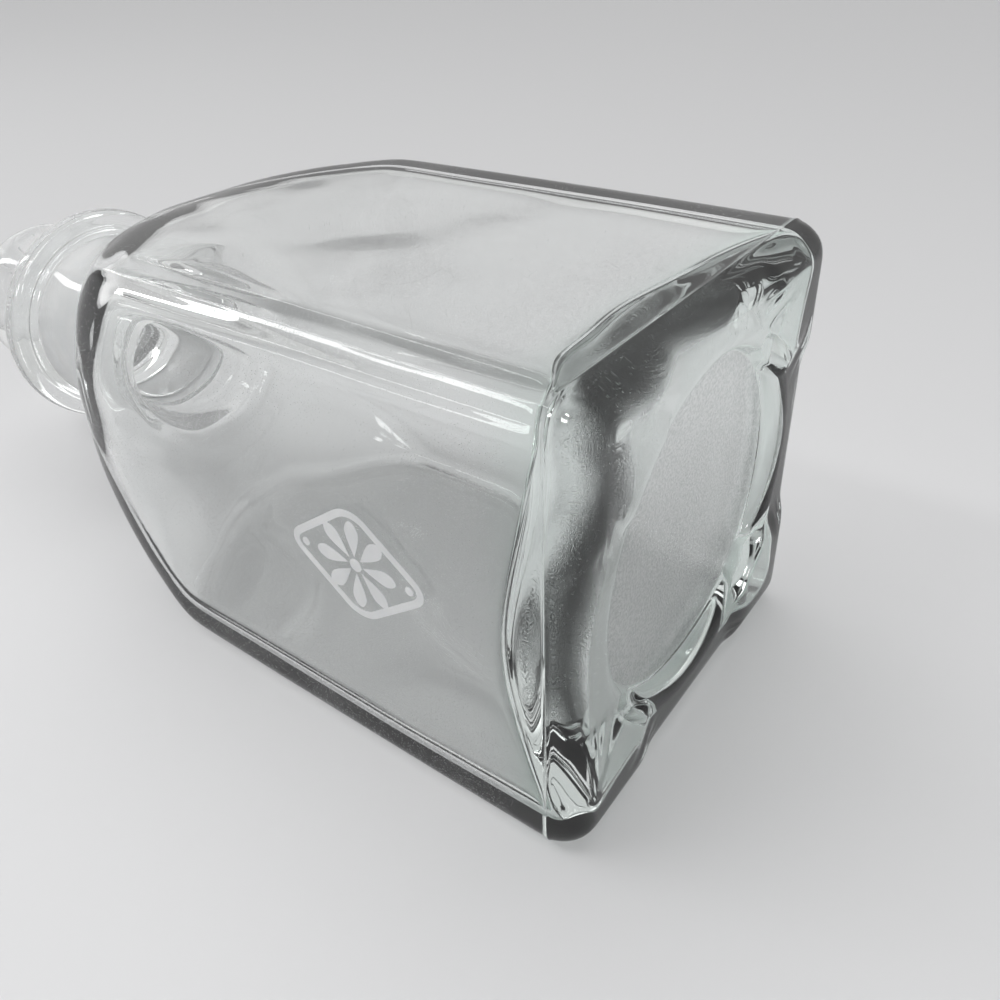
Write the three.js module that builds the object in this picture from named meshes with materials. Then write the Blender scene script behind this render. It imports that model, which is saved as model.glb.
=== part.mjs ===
// A square glass decanter with pillow shoulders, a round neck, a flanged lip and a ball stopper.
// Millimetres, +Z up. The origin is the centre of the plane that the decanter stands on.
// Both pieces are glass: the body is one blown and pressed piece, and the stopper is a solid
// ball on a ground plug that lifts out of the neck.

import * as THREE from "three";

// Body: width over the foot, where the sides start to round over, and where the neck starts.
const baseWidth = 90;
const shoulderStart = 112;
const neckStart = 139;
const sideTaper = 1.15;
const sideTaperPower = 1.5;
const footCorner = 4.4;
const cornerSharpening = 1.4;
const cornerLead = 9;
const shoulderRisePower = 2.65;
const shoulderWidthPower = 3.0;

// Heel: the rounded bottom edge, from the standing plane up to the parting line.
const heelHeight = 6.5;
const heelInset = 6.0;

// Underside: a round recess that leaves a flat pad at each corner and a thin bar along each side.
const barLand = 2.2;
const barRise = 0.7;
const barHalfAngle = 34;
const barFade = 7;
const recessDepth = 5.0;
const recessSlope = 4.3;
const recessFillet = 1.0;
const recessCrown = 0.4;

// Glass thickness: side walls, shoulder, and the domed inside floor, which falls to the corners.
const sideWall = 3.2;
const shoulderWall = 4.0;
const floorCentre = 14.5;
const floorFall = 9.0;
const floorFallPower = 4.65;
const floorFillet = 2.6;
const insideCornerGain = 3.2;

// Neck, its flare and the flanged lip.
const boreRadius = 17.2;
const boreTaper = 1.3;
const neckWall = 4.8;
const neckFillet = 3.0;
const boreFootRound = 3.4;
const flareHeight = 8.0;
const flareOut = 2.8;
const lipOverhang = 4.4;
const lipThickness = 5.5;
const flareStep = 0.5;
const lipHeight = 186;
const mouthRound = 1.5;

// Stopper: a ground plug that follows the bore, a waist and a ball.
const plugClearance = 0.3;
const plugLength = 29;
const plugFootRound = 2.4;
const plugShoulderRound = 1.4;
const waistInset = 4.0;
const waistRise = 3.2;
const ballRadius = 21.4;

// Facets.
const octantSteps = 6;
const cornerCrowding = 2.6;
const arcSteps = 4;
const shoulderSteps = 8;
const latheSides = 40;
const ballSteps = 14;

const quarterTurn = Math.PI / 2;
const baseHalf = baseWidth / 2;
const footHalf = baseHalf - heelInset;
const footCornerRadius = Math.max(footCorner - heelInset / 2, 1);
const recessRimRadius = footHalf - barLand;
const recessFloorRadius = recessRimRadius - recessSlope - recessFillet;
const shoulderHalf = baseHalf - sideTaper;
const neckRadius = boreRadius + neckWall;
const flareRadius = neckRadius + flareOut;
const lipRadius = flareRadius + lipOverhang;
const lipEdge = lipThickness / 2;
const lipUnderside = lipHeight - lipThickness;
const flareTop = lipUnderside - flareStep;
const boreFoot = neckStart - shoulderWall + boreFootRound;
const boreTop = lipHeight - mouthRound;
const plugTop = boreTop;

function smoothStep(low, high, value) {
  const share = THREE.MathUtils.clamp((value - low) / (high - low), 0, 1);
  return share * share * (3 - 2 * share);
}

// Distance from the axis to a rounded square, at an angle of 0 to 45 degrees from a side's middle.
function roundedReach(half, corner, angle) {
  const flat = half - corner;
  if (half * Math.tan(angle) <= flat) return half / Math.cos(angle);
  const along = flat * (Math.cos(angle) + Math.sin(angle));
  const aside = flat * (Math.cos(angle) - Math.sin(angle));
  return along + Math.sqrt(corner * corner - aside * aside);
}

// Angles of one octant: even where the ring is round, crowded into the corner where it is square.
function octantAngle(step, roundness) {
  const even = step / octantSteps;
  const crowded = 1 - (1 - even) ** cornerCrowding;
  return (Math.PI / 4) * (even * roundness + crowded * (1 - roundness));
}

// One ring of points round the axis. Its height is a number, or a function of the place.
function makeRing(half, corner, height) {
  const radius = Math.min(corner, half);
  const points = [];
  for (let index = 0; index < octantSteps * 8; index += 1) {
    const side = Math.floor(index / (octantSteps * 2));
    const step = index % (octantSteps * 2);
    const mirrored = step > octantSteps;
    const angle = octantAngle(mirrored ? octantSteps * 2 - step : step, radius / half);
    const reach = roundedReach(half, radius, angle);
    const turn = side * quarterTurn + (mirrored ? quarterTurn - angle : angle);
    const x = reach * Math.cos(turn);
    const y = reach * Math.sin(turn);
    points.push(new THREE.Vector3(x, y, typeof height === "function" ? height(x, y) : height));
  }
  return points;
}

function roundRing(radius, height) {
  return makeRing(radius, radius, height);
}

// A closed solid from rings that run from one point on the axis to another.
function loftRings(startHeight, rings, endHeight) {
  const count = rings[0].length;
  const vertices = [new THREE.Vector3(0, 0, startHeight), ...rings.flat(), new THREE.Vector3(0, 0, endHeight)];
  const last = vertices.length - 1;
  const faces = [];
  for (let k = 0; k < count; k += 1) {
    const next = (k + 1) % count;
    const mirrored = k % (octantSteps * 2) >= octantSteps;
    faces.push(0, 1 + next, 1 + k);
    for (let level = 0; level < rings.length - 1; level += 1) {
      const low = 1 + level * count;
      const high = low + count;
      if (mirrored) {
        faces.push(low + k, low + next, high + k);
        faces.push(low + next, high + next, high + k);
      } else {
        faces.push(low + k, low + next, high + next);
        faces.push(low + k, high + next, high + k);
      }
    }
    const top = last - count;
    faces.push(top + k, top + next, last);
  }
  const geometry = new THREE.BufferGeometry();
  geometry.setFromPoints(vertices);
  geometry.setIndex(faces);
  geometry.computeVertexNormals();
  return geometry;
}

function steps(count, make, first = 0) {
  return Array.from({ length: count + 1 - first }, (_, index) => make((index + first) / count));
}

// How far the foot is lifted above the standing plane along the bars between the corner pads.
function barLift(x, y) {
  const aside = Math.atan2(Math.min(Math.abs(x), Math.abs(y)), Math.max(Math.abs(x), Math.abs(y)));
  const degrees = THREE.MathUtils.radToDeg(aside);
  return barRise * (1 - smoothStep(barHalfAngle - barFade, barHalfAngle, degrees));
}

// The lift fades out from the standing plane up to the parting line.
function footHeight(height) {
  const fade = Math.max(1 - height / heelHeight, 0) ** 2;
  return (x, y) => height + barLift(x, y) * fade;
}

function undersideRings() {
  const wallHeight = recessDepth - recessFillet;
  const floor = (radius) => recessDepth + recessCrown * (1 - (radius / recessFloorRadius) ** 2);
  const rings = [0.35, 0.7].map((share) => {
    const radius = recessFloorRadius * share;
    return roundRing(radius, floor(radius));
  });
  rings.push(...steps(2, (t) => {
    const angle = t * quarterTurn;
    const radius = recessFloorRadius + recessFillet * Math.sin(angle);
    return roundRing(radius, recessDepth - recessFillet * (1 - Math.cos(angle)));
  }));
  rings.push(...steps(arcSteps, (t) => {
    const angle = (1 - t) * quarterTurn;
    const radius = recessRimRadius - recessSlope * Math.sin(angle);
    return roundRing(radius, footHeight(wallHeight * (1 - Math.cos(angle))));
  }, 1));
  return rings;
}

function heelRings() {
  return steps(arcSteps, (t) => {
    const angle = t * quarterTurn;
    const out = Math.sin(angle);
    const corner = footCornerRadius + (footCorner - footCornerRadius) * out;
    return makeRing(footHalf + heelInset * out, corner, footHeight(heelHeight * (1 - Math.cos(angle))));
  });
}

// Half width of the outside between the heel and the shoulder.
function sideHalf(height) {
  const share = Math.max((height - heelHeight) / (shoulderStart - heelHeight), 0);
  return baseHalf - sideTaper * share ** sideTaperPower;
}

// Corner radius of the outside or inside: sharp on the sides, and growing until the ring is round.
function cornerRadius(height, half, startCorner, roundHeight) {
  const lead = shoulderStart - cornerLead;
  const share = THREE.MathUtils.clamp((height - heelHeight) / (lead - heelHeight), 0, 1);
  const square = startCorner - cornerSharpening * share;
  return square + (half - square) * smoothStep(lead, roundHeight, height);
}

// Rings of a side, from a low height up to the start of the shoulder.
function sideRings(lowHeight, wall, startCorner, roundHeight) {
  const lead = shoulderStart - cornerLead;
  const heights = [
    ...steps(2, (t) => lowHeight + (lead - lowHeight) * t, lowHeight > heelHeight ? 0 : 1),
    ...steps(2, (t) => lead + cornerLead * t, 1),
  ];
  return heights.map((height) => {
    const half = sideHalf(height) - wall;
    return makeRing(half, cornerRadius(height, half, startCorner, roundHeight), height);
  });
}

// Rings of the pillow shoulder, from the sides in to a round ring of the given radius and height.
function shoulderRings(wall, endRadius, endHeight, startCorner) {
  const startHalf = shoulderHalf - wall;
  return steps(shoulderSteps, (t) => {
    const angle = t * quarterTurn;
    const rise = Math.sin(angle) ** (2 / shoulderRisePower);
    const width = Math.max(Math.cos(angle), 0) ** (2 / shoulderWidthPower);
    const half = endRadius + (startHalf - endRadius) * (t < 1 ? width : 0);
    const height = shoulderStart + (endHeight - shoulderStart) * rise;
    return makeRing(half, cornerRadius(height, half, startCorner, endHeight), height);
  }, 1);
}

function neckRings() {
  const fillet = steps(arcSteps - 1, (t) => {
    const angle = t * quarterTurn;
    return roundRing(neckRadius + neckFillet * (1 - Math.sin(angle)), neckStart + neckFillet * (1 - Math.cos(angle)));
  }, 1);
  const flare = steps(arcSteps, (t) => {
    const angle = (1 - t) * quarterTurn;
    return roundRing(neckRadius + flareOut * (1 - Math.sin(angle)), flareTop - flareHeight * (1 - Math.cos(angle)));
  });
  const edge = steps(arcSteps * 2, (t) => {
    const angle = (t - 0.5) * Math.PI;
    return roundRing(lipRadius - lipEdge * (1 - Math.cos(angle)), lipHeight - lipEdge + lipEdge * Math.sin(angle));
  });
  return [...fillet, ...flare, ...edge];
}

function boreRings() {
  const mouth = steps(2, (t) => {
    const angle = t * quarterTurn;
    return roundRing(boreRadius + mouthRound * (1 - Math.sin(angle)), boreTop + mouthRound * Math.cos(angle));
  });
  const foot = steps(arcSteps, (t) => {
    const angle = t * quarterTurn;
    const radius = boreRadius - boreTaper + boreFootRound * (1 - Math.cos(angle));
    return roundRing(radius, boreFoot - boreFootRound * Math.sin(angle));
  });
  return [...mouth, ...foot];
}

// The domed floor inside, highest in the middle and lowest in the corners.
function insideRings() {
  const insideCorner = footCorner + insideCornerGain;
  const wallHalf = sideHalf(floorCentre) - sideWall;
  const cornerReach = (wallHalf - insideCorner) * Math.SQRT2 + insideCorner;
  const floorAt = (lift) => (x, y) => (
    floorCentre - floorFall * (Math.hypot(x, y) / cornerReach) ** floorFallPower + lift
  );
  const endRadius = boreRadius - boreTaper + boreFootRound;
  const endHeight = neckStart - shoulderWall;
  const fillet = steps(2, (t) => {
    const angle = t * quarterTurn;
    const inset = floorFillet * (1 - Math.cos(angle));
    return makeRing(wallHalf - inset, insideCorner - inset, floorAt(floorFillet * (1 - Math.sin(angle))));
  });
  const floorHalf = wallHalf - floorFillet;
  const floor = [0.8, 0.55, 0.28].map((share) => {
    const half = floorHalf * share;
    return makeRing(half, half * (1 - share / 2), floorAt(0));
  });
  return [
    ...shoulderRings(sideWall, endRadius, endHeight, insideCorner).reverse().slice(1),
    ...sideRings(floorCentre + floorFillet * 2, sideWall, insideCorner, endHeight).reverse(),
    ...fillet,
    ...floor,
  ];
}

function makeBody() {
  const rings = [
    ...undersideRings(),
    ...heelRings(),
    ...sideRings(heelHeight, 0, footCorner, neckStart),
    ...shoulderRings(0, neckRadius + neckFillet, neckStart, footCorner),
    ...neckRings(),
    ...boreRings(),
    ...insideRings(),
  ];
  return loftRings(recessDepth + recessCrown, rings, floorCentre);
}

// The plug follows the bore's taper, a clearance inside it.
function plugRadiusAt(height) {
  const share = (boreTop - height) / (boreTop - boreFoot);
  return boreRadius - boreTaper * share - plugClearance;
}

function makeStopper() {
  const footHeightOfPlug = plugTop - plugLength;
  const footRadius = plugRadiusAt(footHeightOfPlug);
  const topRadius = plugRadiusAt(plugTop);
  const waistRadius = topRadius - waistInset;
  const waistTop = lipHeight + waistRise;
  const ballCentre = waistTop + Math.sqrt(ballRadius ** 2 - waistRadius ** 2);
  const startAngle = -Math.acos(waistRadius / ballRadius);
  const profile = [new THREE.Vector2(0, footHeightOfPlug)];
  profile.push(...steps(3, (t) => {
    const angle = t * quarterTurn;
    const radius = footRadius - plugFootRound * (1 - Math.sin(angle));
    return new THREE.Vector2(radius, footHeightOfPlug + plugFootRound * (1 - Math.cos(angle)));
  }));
  profile.push(...steps(3, (t) => {
    const angle = t * quarterTurn;
    const radius = topRadius - plugShoulderRound * (1 - Math.cos(angle));
    return new THREE.Vector2(radius, plugTop - plugShoulderRound * (1 - Math.sin(angle)));
  }));
  profile.push(new THREE.Vector2(waistRadius, (plugTop + waistTop) / 2));
  profile.push(...steps(ballSteps, (t) => {
    const angle = startAngle + (quarterTurn - startAngle) * t;
    return new THREE.Vector2(ballRadius * Math.cos(angle), ballCentre + ballRadius * Math.sin(angle));
  }).slice(0, -1));
  profile.push(new THREE.Vector2(0, ballCentre + ballRadius));
  const geometry = new THREE.LatheGeometry(profile, latheSides);
  geometry.rotateX(quarterTurn);
  return geometry;
}

function glass(name, color) {
  return new THREE.MeshStandardMaterial({ name, color, roughness: 0.05, metalness: 0, transparent: true, opacity: 0.35 });
}

const decanter = new THREE.Group();

const body = new THREE.Mesh(makeBody(), glass("body_glass", 0xe8efec));
body.name = "decanter_body";
decanter.add(body);

const stopper = new THREE.Mesh(makeStopper(), glass("stopper_glass", 0xedf1f0));
stopper.name = "ball_stopper";
decanter.add(stopper);

export default decanter;
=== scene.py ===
"""The looks of a square glass decanter with a ball stopper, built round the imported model.

Sizes in the classes are millimetres and angles are degrees. Meshes are placed in metres, with +Z up
the neck and the origin in the middle of the standing plane. The decanter is seen as it lies on its
-X side on a table, so the camera is low on the +X -Y side and +X is up in the picture.
"""
import logging
import math
from collections.abc import Callable
from dataclasses import dataclass
from enum import Enum

import bmesh
import bpy
from mathutils import Matrix, Vector, noise


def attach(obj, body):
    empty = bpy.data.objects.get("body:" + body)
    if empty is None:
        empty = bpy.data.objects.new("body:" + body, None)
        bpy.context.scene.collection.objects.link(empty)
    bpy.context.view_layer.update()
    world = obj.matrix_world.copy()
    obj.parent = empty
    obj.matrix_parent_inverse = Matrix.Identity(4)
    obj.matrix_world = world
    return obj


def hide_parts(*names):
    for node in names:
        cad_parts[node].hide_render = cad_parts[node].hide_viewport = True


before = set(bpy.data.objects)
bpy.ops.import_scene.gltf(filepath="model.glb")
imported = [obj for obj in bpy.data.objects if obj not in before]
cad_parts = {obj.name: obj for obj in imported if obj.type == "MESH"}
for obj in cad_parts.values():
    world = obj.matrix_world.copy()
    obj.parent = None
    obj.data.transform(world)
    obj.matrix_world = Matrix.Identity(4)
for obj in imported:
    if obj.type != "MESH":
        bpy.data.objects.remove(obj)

MM = 0.001
QUARTER = math.pi / 2
ON_AXIS = 1e-8
LOG = logging.getLogger("decanter")

Colour = tuple[float, float, float]
Point = tuple[float, float, float]
Span = tuple[float, float]
Shares = tuple[float, ...]
Lift = Callable[[float, float], float]
Piece = bpy.types.Object
Material = bpy.types.Material
Tree = bpy.types.NodeTree
Node = bpy.types.Node
Socket = bpy.types.NodeSocket


class Place(Enum):
    """The parts of the glass that take a finish of their own, with their material slot numbers."""

    CLEAR = 0
    GROUND = 1
    STIPPLED = 2


# Small helpers


def smooth_step(low: float, high: float, value: float) -> float:
    """Eases a value from 0 at low to 1 at high."""
    share = min(max((value - low) / (high - low), 0.0), 1.0)
    return share * share * (3 - 2 * share)


def steps(count: int, first: int = 0) -> list[float]:
    """Splits 0 to 1 into even steps, from the first one that is wanted up to 1."""
    return [index / count for index in range(first, count + 1)]


def quarter(count: int, first: int = 0) -> list[Span]:
    """Gives the sine and cosine of even steps over a quarter turn."""
    return [(math.sin(share * QUARTER), math.cos(share * QUARTER)) for share in steps(count, first)]


def bend(start: Span, size: Span, count: int, first: int = 0) -> list[Span]:
    """Rounds an outline from a start, which it leaves level, out and up by a size to an upright end."""
    turns = quarter(count, first)
    return [(start[0] + size[0] * sine, start[1] + size[1] * (1 - cosine)) for sine, cosine in turns]


def turn_of(point: bmesh.types.BMVert) -> float:
    """The angle of a mesh point round the axis, from 0 at +X up to a full turn."""
    if point.co.x > 0 and abs(point.co.y) < ON_AXIS:
        return 0.0
    return math.atan2(point.co.y, point.co.x) % math.tau


def deselect_all() -> None:
    """Leaves edit mode and deselects every object."""
    if bpy.context.object and bpy.context.object.mode != "OBJECT":
        bpy.ops.object.mode_set(mode="OBJECT")
    bpy.ops.object.select_all(action="DESELECT")


def make_active(piece: Piece) -> None:
    """Selects one object alone and makes it the active one."""
    deselect_all()
    piece.select_set(True)
    bpy.context.view_layer.objects.active = piece


def settle(piece: Piece, name: str) -> Piece:
    """Names a piece and puts its place into its mesh.

    Args:
        piece: The object to settle.
        name: The name for the object and its mesh.

    Returns:
        The same object, at the origin, unturned and unscaled.
    """
    make_active(piece)
    bpy.ops.object.transform_apply(location=True, rotation=True, scale=True)
    piece.name = name
    piece.data.name = name
    return piece


def join_up(main: Piece, parts: list[Piece]) -> Piece:
    """Joins parts to a main object.

    Args:
        main: The object that the others join.
        parts: The objects that join it.

    Returns:
        The joined object.
    """
    make_active(main)
    for part in parts:
        part.select_set(True)
    bpy.ops.object.join()
    return bpy.context.object


def edit_all(piece: Piece) -> None:
    """Opens a piece in edit mode with all of it selected."""
    make_active(piece)
    bpy.ops.object.mode_set(mode="EDIT")
    bpy.ops.mesh.select_all(action="SELECT")


def add_circle(sides: int, **settings: object) -> Piece:
    """Adds a circle and gives it back as an object."""
    deselect_all()
    bpy.ops.mesh.primitive_circle_add(vertices=sides, **settings)
    return bpy.context.object


def clean_mesh(piece: Piece, distance: float = 1e-6) -> None:
    """Merges doubled points and turns every face outwards.

    Args:
        piece: The object whose mesh is cleaned.
        distance: How close doubled points lie, in metres.
    """
    edit_all(piece)
    bpy.ops.mesh.remove_doubles(threshold=distance)
    bpy.ops.mesh.normals_make_consistent(inside=False)
    bpy.ops.object.mode_set(mode="OBJECT")


def subdivide_surface(piece: Piece) -> None:
    """Splits every face of a piece once, smoothly, with a modifier that is applied."""
    make_active(piece)
    modifier = piece.modifiers.new("Smooth surface", "SUBSURF")
    modifier.levels = modifier.render_levels = 1
    bpy.ops.object.modifier_apply(modifier=modifier.name)


def shade_smooth(piece: Piece, degrees: float = 180.0) -> None:
    """Shades a piece smooth, apart from edges that are sharper than an angle."""
    make_active(piece)
    bpy.ops.object.shade_smooth_by_angle(angle=math.radians(degrees))


# Shader nodes


@dataclass
class NodeKit:
    """A short way to add and join shader nodes in one tree."""

    tree: Tree

    def add(self, kind: str, **settings: object) -> Node:
        """Adds a node.

        Args:
            kind: The node's type name.
            **settings: Attributes to set on it.

        Returns:
            The new node.
        """
        node = self.tree.nodes.new(kind)
        for name, value in settings.items():
            setattr(node, name, value)
        return node

    def join(self, source: Socket, target: Socket) -> None:
        """Links an output to an input."""
        self.tree.links.new(source, target)

    def feed(self, target: Socket, value: object) -> None:
        """Links a socket to an input, or sets a plain value on it."""
        if isinstance(value, Socket):
            self.join(value, target)
        else:
            target.default_value = value

    def show(self, surface: Socket) -> None:
        """Makes a shader the surface of the material."""
        self.join(surface, self.tree.nodes["Material Output"].inputs["Surface"])

    def math(self, operation: str, *values: object) -> Socket:
        """Adds a Math node.

        Args:
            operation: The Math node's operation.
            *values: Sockets or numbers for its inputs.

        Returns:
            Its output.
        """
        node = self.add("ShaderNodeMath", operation=operation)
        for socket, value in zip(node.inputs, values):
            self.feed(socket, value)
        return node.outputs[0]

    def ramp(self, value: object, span: Span, result: Span = (0.0, 1.0)) -> Socket:
        """Maps a value smoothly from one range to another.

        Args:
            value: The socket or number to map.
            span: The values that give the two results.
            result: The two results.

        Returns:
            The mapped output.
        """
        node = self.add("ShaderNodeMapRange", interpolation_type="SMOOTHSTEP")
        for socket, part in zip(node.inputs, (value, *span, *result)):
            self.feed(socket, part)
        return node.outputs[0]

    def read(self, kind: str, vector: Socket, inputs: dict[str, object], **settings: object) -> Node:
        """Adds a node that reads coordinates.

        Args:
            kind: The node's type name.
            vector: The coordinates it reads.
            inputs: Sockets or plain values for its inputs by name.
            **settings: Attributes to set on it.

        Returns:
            The new node.
        """
        node = self.add(kind, **settings)
        self.join(vector, node.inputs["Vector"])
        for name, value in inputs.items():
            self.feed(node.inputs[name], value)
        return node

    def noise(self, vector: Socket, scale: object, detail: float, rough: float = 0.5) -> Socket:
        """Adds a noise texture, with its waves per metre, its finer layers and their strength."""
        inputs = {"Scale": scale, "Detail": detail, "Roughness": rough}
        return self.read("ShaderNodeTexNoise", vector, inputs).outputs[0]

    def blend(self, share: object, first: object, second: object) -> Socket:
        """Mixes two colours.

        Args:
            share: How much of the second colour shows, as a socket or a number.
            first: The first colour, as a socket or three numbers.
            second: The second colour, as a socket or three numbers.

        Returns:
            The mixed colour.
        """
        node = self.add("ShaderNodeMix", data_type="RGBA")
        self.feed(node.inputs[0], share)
        for socket, colour in ((node.inputs[6], first), (node.inputs[7], second)):
            self.feed(socket, colour if isinstance(colour, Socket) else (*colour, 1.0))
        return node.outputs[2]


def new_group(name: str, inputs: dict[str, float], outputs: list[str]) -> tuple[NodeKit, Node, Node]:
    """Starts a shader node group that reads a Vector and some numbers.

    Args:
        name: The group's name.
        inputs: Its number inputs with their usual values.
        outputs: The names of its number outputs.

    Returns:
        A kit for its tree, its input node and its output node.
    """
    tree = bpy.data.node_groups.new(name, "ShaderNodeTree")
    tree.interface.new_socket("Vector", in_out="INPUT", socket_type="NodeSocketVector")
    for label, value in inputs.items():
        socket = tree.interface.new_socket(label, in_out="INPUT", socket_type="NodeSocketFloat")
        socket.default_value = value
    for label in outputs:
        tree.interface.new_socket(label, in_out="OUTPUT", socket_type="NodeSocketFloat")
    kit = NodeKit(tree)
    return kit, kit.add("NodeGroupInput"), kit.add("NodeGroupOutput")


@dataclass(frozen=True)
class WearEffect:
    """Dust specks and hairline scratches that gather in the same loose drifts."""

    drift_scale: float = 38.0
    drift_detail: float = 3.0
    drift_rough: float = 0.6
    speck_edge: Span = (0.16, 0.34)
    dusty_drift: Span = (0.38, 0.70)
    speck_share: Span = (0.02, 0.5)
    hair_scale: float = 420.0
    hair_stretch: Point = (1.0, 0.07, 0.12)
    hair_turn: Point = (17, 24, 41)
    hair_width: float = 0.006
    scratched_drift: Span = (0.52, 0.64)

    def group(self) -> Tree:
        """Builds the node group.

        Returns:
            The group, with Dust, Scratch and Drift outputs.
        """
        inputs = {"Dust amount": 1.0, "Speck scale": 2200.0}
        kit, given, result = new_group("Dust and scratches", inputs, ["Dust", "Scratch", "Drift"])
        vector = given.outputs["Vector"]
        drift = kit.noise(vector, self.drift_scale, self.drift_detail, self.drift_rough)
        scale = {"Scale": given.outputs["Speck scale"]}
        specks = kit.read("ShaderNodeTexVoronoi", vector, scale, feature="F1")
        dots = kit.ramp(specks.outputs["Distance"], self.speck_edge, (1.0, 0.0))
        pick = kit.add("ShaderNodeSeparateColor")
        kit.join(specks.outputs["Color"], pick.inputs[0])
        dusty = kit.ramp(drift, self.dusty_drift, self.speck_share)
        share = kit.math("MULTIPLY", dusty, given.outputs["Dust amount"])
        picked = kit.math("LESS_THAN", pick.outputs[0], share)
        kit.join(kit.math("MULTIPLY", dots, picked), result.inputs["Dust"])
        turn = [math.radians(part) for part in self.hair_turn]
        combed = kit.read("ShaderNodeMapping", vector, {"Rotation": turn, "Scale": self.hair_stretch})
        hair = kit.noise(combed.outputs[0], self.hair_scale, 0.0)
        off = kit.math("ABSOLUTE", kit.math("SUBTRACT", hair, 0.5))
        line = kit.ramp(off, (0.0, self.hair_width), (1.0, 0.0))
        scratched = kit.ramp(drift, self.scratched_drift)
        kit.join(kit.math("MULTIPLY", line, scratched), result.inputs["Scratch"])
        kit.join(drift, result.inputs["Drift"])
        return kit.tree


def make_grain_group() -> Tree:
    """Builds the fine grain of ground or stippled glass.

    Returns:
        The group, with a Height output.
    """
    kit, given, result = new_group("Grain", {"Grain scale": 2200.0}, ["Height"])
    fine = kit.noise(given.outputs["Vector"], given.outputs["Grain scale"], 1.0)
    kit.join(fine, result.inputs["Height"])
    return kit.tree


# Finishes


def new_material(name: str) -> tuple[Material, NodeKit, Node]:
    """Starts a material and gives it with a kit for its tree and its Principled BSDF."""
    material = bpy.data.materials.new(name)
    material.use_nodes = True
    return material, NodeKit(material.node_tree), material.node_tree.nodes["Principled BSDF"]


@dataclass(frozen=True)
class GlassFinish:
    """Blown soda glass, faintly green where the base is thick, with dust and hairline scratches."""

    name: str = "Clear glass"
    colour: Colour = (0.975, 0.985, 0.981)
    thick_colour: Colour = (0.875, 0.94, 0.912)
    dusty_colour: Colour = (0.80, 0.81, 0.82)
    thick_to_thin: Span = (0.006, 0.022)
    index: float = 1.52
    hazy_drift: Span = (0.45, 0.8)
    hazy_roughness: Span = (0.012, 0.035)
    dusty_roughness: float = 0.55
    scratch_roughness: float = 0.22
    dust: float = 1.0
    speck_scale: float = 3000.0

    def material(self, groups: dict[str, Tree]) -> Material:
        """Makes the material.

        Args:
            groups: The shared effects by name.

        Returns:
            The glass material.
        """
        material, kit, shader = new_material(self.name)
        place = kit.add("ShaderNodeTexCoord").outputs["Object"]
        values = {"Dust amount": self.dust, "Speck scale": self.speck_scale}
        wear = kit.read("ShaderNodeGroup", place, values, node_tree=groups["wear"])
        way = kit.add("ShaderNodeSeparateXYZ")
        kit.join(place, way.inputs[0])
        thin = kit.ramp(way.outputs["Z"], self.thick_to_thin)
        dust = kit.math("MULTIPLY", wear.outputs["Dust"], thin)
        scratch = kit.math("MULTIPLY", wear.outputs["Scratch"], thin)
        rough = kit.ramp(wear.outputs["Drift"], self.hazy_drift, self.hazy_roughness)
        rough = kit.math("MULTIPLY_ADD", dust, self.dusty_roughness, rough)
        rough = kit.math("MULTIPLY_ADD", scratch, self.scratch_roughness, rough)
        kit.join(rough, shader.inputs["Roughness"])
        tint = kit.blend(thin, self.thick_colour, self.colour)
        kit.join(kit.blend(dust, tint, self.dusty_colour), shader.inputs["Base Color"])
        shader.inputs["Transmission Weight"].default_value = 1.0
        shader.inputs["IOR"].default_value = self.index
        return material


@dataclass(frozen=True)
class GroundFinish:
    """Glass whose surface is ground, stippled or etched: white, grainy and half clear."""

    name: str
    colour: Colour
    shade: Colour
    clearness: float
    roughness: float = 0.45
    rough_spread: float = 0.2
    grain_scale: float = 2200.0
    grain_depth: float = 0.00006
    cloud_scale: float = 130.0
    cloud_detail: float = 2.0
    cloud_rough: float = 0.6
    cloud_edge: float = 0.15
    index: float = 1.52

    def material(self, groups: dict[str, Tree]) -> Material:
        """Makes the material.

        Args:
            groups: The shared effects by name.

        Returns:
            The frosted material.
        """
        material, kit, shader = new_material(self.name)
        place = kit.add("ShaderNodeTexCoord").outputs["Object"]
        values = {"Grain scale": self.grain_scale}
        grain = kit.read("ShaderNodeGroup", place, values, node_tree=groups["grain"])
        bump = kit.add("ShaderNodeBump")
        bump.inputs["Strength"].default_value = 1.0
        bump.inputs["Distance"].default_value = self.grain_depth
        kit.join(grain.outputs["Height"], bump.inputs["Height"])
        kit.join(bump.outputs[0], shader.inputs["Normal"])
        cloud = kit.noise(place, self.cloud_scale, self.cloud_detail, self.cloud_rough)
        span = (0.5 - self.cloud_edge, 0.5 + self.cloud_edge)
        rough = (self.roughness * (1 - self.rough_spread), self.roughness * (1 + self.rough_spread))
        kit.join(kit.blend(kit.ramp(cloud, span), self.shade, self.colour), shader.inputs["Base Color"])
        kit.join(kit.ramp(cloud, span, rough), shader.inputs["Roughness"])
        shader.inputs["Transmission Weight"].default_value = self.clearness
        shader.inputs["IOR"].default_value = self.index
        return material


# The body


@dataclass(frozen=True)
class Ring:
    """One ring of points round the axis: a rounded square with what lifts and stirs its points."""

    half: float
    corner: float
    height: float
    lift: Lift | None = None
    seam: float = 0.0
    wave: float = 0.0

    @classmethod
    def round(cls, radius: float, height: float, lift: Lift | None = None, seam: float = 0.0) -> "Ring":
        """Makes a ring that is a plain circle."""
        return cls(radius, radius, height, lift, seam)


@dataclass(frozen=True)
class Skin:
    """The outer or the inner surface of the walls.

    It lies wall inside the outer surface, has a corner radius at the foot, and meets the neck at an
    end radius and an end height. It stirs by wave, and seam is how far the mould's seams stand out.
    """

    wall: float
    corner: float
    end_radius: float
    end_height: float
    wave: float = 0.0
    seam: float = 0.0


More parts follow.
